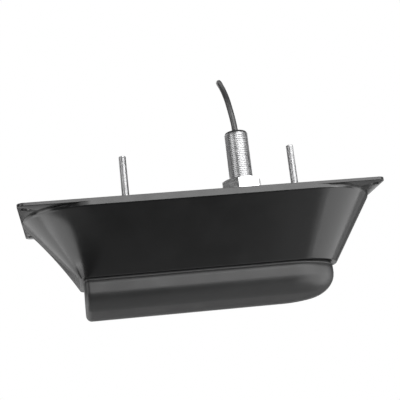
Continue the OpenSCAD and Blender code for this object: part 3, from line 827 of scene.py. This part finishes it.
def strap():
    """A closed band round the coil's section: inner and outer skin and two edges."""
    middle_r = COIL_R - CABLE_D * (LAYERS - 1) / 2
    verts, faces = [], []
    stations = arc_steps(169, 191, 10)
    inside, outside = band(STRAP_INNER), band(STRAP_OUTER)
    n = len(inside)
    for a in stations:
        c, s = heading(a)
        for u, v in inside + outside:
            r = middle_r + u
            verts.append((COIL.x + r * c, COIL.y + v, COIL.z + r * s))
    last = len(stations) - 1
    for i in range(n):
        j = (i + 1) % n
        for k in range(last):
            a, b = k * 2 * n, (k + 1) * 2 * n
            faces.append((a + j, a + i, b + i, b + j))
            faces.append((a + n + i, a + n + j, b + n + j, b + n + i))
        for a in (0, last * 2 * n):
            faces.append((a + i, a + j, a + n + j, a + n + i))
    return verts, faces


tie = add("coil_strap", *strap(), smooth=40)
settle(tie, "strap", "coil_tie")

PLUG = (80.0, 113.5, -4.0)
RIBS, RELIEF_END = 5, -13.8
relief = [(0, 0), (3.9, 0), (4.25, -0.3)]
for k in range(RIBS):
    z = -1.6 - 2.4 * k
    r = 4.35 + 0.28 * k
    relief += [
        (r, z), (r, z - 0.9), (r - 0.55, z - 1.1), (r - 0.55, z - 1.9), (r + 0.15, z - 2.1),
    ]
plug_profile = [q for q in relief if q[1] > RELIEF_END] + [
    (5.75, -14), (8.0, -14), (8.6, -14.25), (9, -15), (9, -16.5), (8.7, -17), (8.7, -33),
    (9, -33.5), (9, -36), (7, -36), (7, -51.5), (6.6, -52), (0, -52),
]
plug = add("plug_moulding", *lathe(plug_profile, 72, PLUG), smooth=40)
CONTACTS, CONTACT_RING, CONTACT_R = 8, 3.5, 0.8
contact_spokes = [spoke(k, CONTACTS) for k in range(CONTACTS)]
plug_holes = [(0.0, 0.0)] + [(CONTACT_RING * c, CONTACT_RING * s) for c, s in contact_spokes]
cut(plug, [rod(CONTACT_R, -70, -48, PLUG[0] + x, PLUG[1] + y, 24) for x, y in plug_holes], 40)
settle(plug, "plug_plastic", "plug_body")

COLLAR_BORE, COLLAR_SIDES = 7.3, 144
# Level, radius and how far the knurl stands out, outside first and then the bore.
COLLAR = [
    (-51, 9.3, 0), (-50.4, 9.9, 0), (-49.6, 9.9, 0), (-49.2, 9.5, 0.4), (-39, 9.5, 0.4),
    (-38.6, 9.9, 0), (-37, 9.9, 0), (-36.3, 9.3, 0), (-36.3, COLLAR_BORE, 0),
    (-51, COLLAR_BORE, 0),
]
collar_rings = [
    round_ring([r + knurl * (i % 4 in (1, 2)) for i in range(COLLAR_SIDES)], z, PLUG)
    for z, r, knurl in COLLAR
]
collar = add("plug_collar_knurled", *loft(collar_rings, closed_rings=True), smooth=35)
settle(collar, "plug_plastic", "plug_collar")

# Nodes that stay as they are.

SLOTS = {s["node"]: s["material_slot"] for s in frame["record"]["subparts"]}
for name, o in frame["nodes"].items():
    if not o.hide_render:
        o.data.materials.clear()
        o.data.materials.append(M[SLOTS[name]])

# Stage and light.


def card(name):
    """Pale matt card."""
    mat, nt, p = material(name)
    p.inputs["Base Color"].default_value = (0.8, 0.8, 0.8, 1)
    p.inputs["Roughness"].default_value = 0.9
    return mat, nt, p


def sheet(name, corners, mat):
    me = bpy.data.meshes.new(name)
    me.from_pydata(corners, [], [(0, 1, 2, 3)])
    o = bpy.data.objects.new(name, me)
    o.data.materials.append(mat)
    scene.collection.objects.link(o)


FLOOR_HALF, FLOOR_Z = 8, -1.6
floor_plan = ((-1, -1), (1, -1), (1, 1), (-1, 1))
sheet("floor", [(x * FLOOR_HALF, y * FLOOR_HALF, FLOOR_Z) for x, y in floor_plan], card("floor")[0])

# The backdrop shows white to the camera, and to metal that mirrors it, without lighting the object.
back_mat, nt, p = card("backdrop")
path = nt.nodes.new("ShaderNodeLightPath")
glow = nt.nodes.new("ShaderNodeEmission")
mix = nt.nodes.new("ShaderNodeMixShader")
seen = path.outputs["Is Camera Ray"]
for kind in ("Is Glossy Ray", "Is Transmission Ray"):
    m = nt.nodes.new("ShaderNodeMath")
    m.operation = "MAXIMUM"
    nt.links.new(seen, m.inputs[0])
    nt.links.new(path.outputs[kind], m.inputs[1])
    seen = m.outputs[0]
nt.links.new(seen, mix.inputs[0])
nt.links.new(p.outputs["BSDF"], mix.inputs[1])
nt.links.new(glow.outputs[0], mix.inputs[2])
nt.links.new(mix.outputs[0], nt.nodes["Material Output"].inputs["Surface"])
BACK_Y = 2.2
BACK_CORNERS = ((-0.45, -0.45), (1.3, -0.45), (1.3, 1.55), (-0.45, 1.55))
sheet("backdrop", [(x, BACK_Y, z) for x, z in BACK_CORNERS], back_mat)

world = bpy.data.worlds.new("world")
scene.world = world
world.use_nodes = True
world.node_tree.nodes["Background"].inputs["Color"].default_value = (1, 1, 1, 1)
world.node_tree.nodes["Background"].inputs["Strength"].default_value = 0.07

MIDDLE = Vector((0, 0, -0.03))
# Name, place, width and height, and power of the soft boxes, which all face the middle.
LAMPS = [
    ("key", (0.78, -1.66, 0.46), (2.4, 0.75), 28.5),
    ("lead", (-0.46, -1.78, 0.43), (0.57, 0.75), 2.5),
    ("left", (-1.715, 0.0, -0.83), (1.35, 1.2), 12.2),
    ("foot", (-1.85, -0.33, -0.15), (0.9, 0.48), 3.3),
    ("quarter", (-1.45, 1.09, -0.46), (1.15, 1.25), 5.2),
    ("back", (-1.19, 1.19, -0.92), (2.2, 1.4), 4.5),
    ("stern", (-0.85, 1.77, -0.14), (0.5, 0.8), 0.5),
    ("right", (1.81, -0.39, -0.49), (2.3, 1.9), 32.5),
    ("turn", (1.15, -1.37, -0.68), (0.4, 1.75), 2.4),
    ("wing", (0.8, -1.6, -0.68), (0.55, 1.75), 1.6),
    ("nose", (1.63, 0.87, -0.5), (0.7, 1.3), 1.6),
    ("bow", (1.22, 1.45, -0.5), (0.6, 1.3), 0.4),
    ("under", (0.3, 1.45, -1.0), (2.2, 0.5), 1.2),
    ("brow", (1.8, -0.86, 0.18), (0.5, 0.6), 1.9),
    ("side", (-1.6, 0.92, 0.45), (1.3, 0.7), 0.75),
    ("fill", (-1.53, -1.02, 0.46), (1.1, 0.8), 7),
    ("above", (0.1, 0.3, 1.7), (1.5, 1.5), 5),
    ("rear", (-0.5, 1.7, 1.1), (1.6, 1.2), 6),
]
for name, at, size, power in LAMPS:
    data = bpy.data.lights.new(name, "AREA")
    data.shape = "RECTANGLE"
    data.size, data.size_y = size
    data.energy = power
    o = bpy.data.objects.new(name, data)
    scene.collection.objects.link(o)
    o.location = at
    o.rotation_euler = (MIDDLE - Vector(at)).to_track_quat("-Z", "Y").to_euler()
    o.visible_camera = False
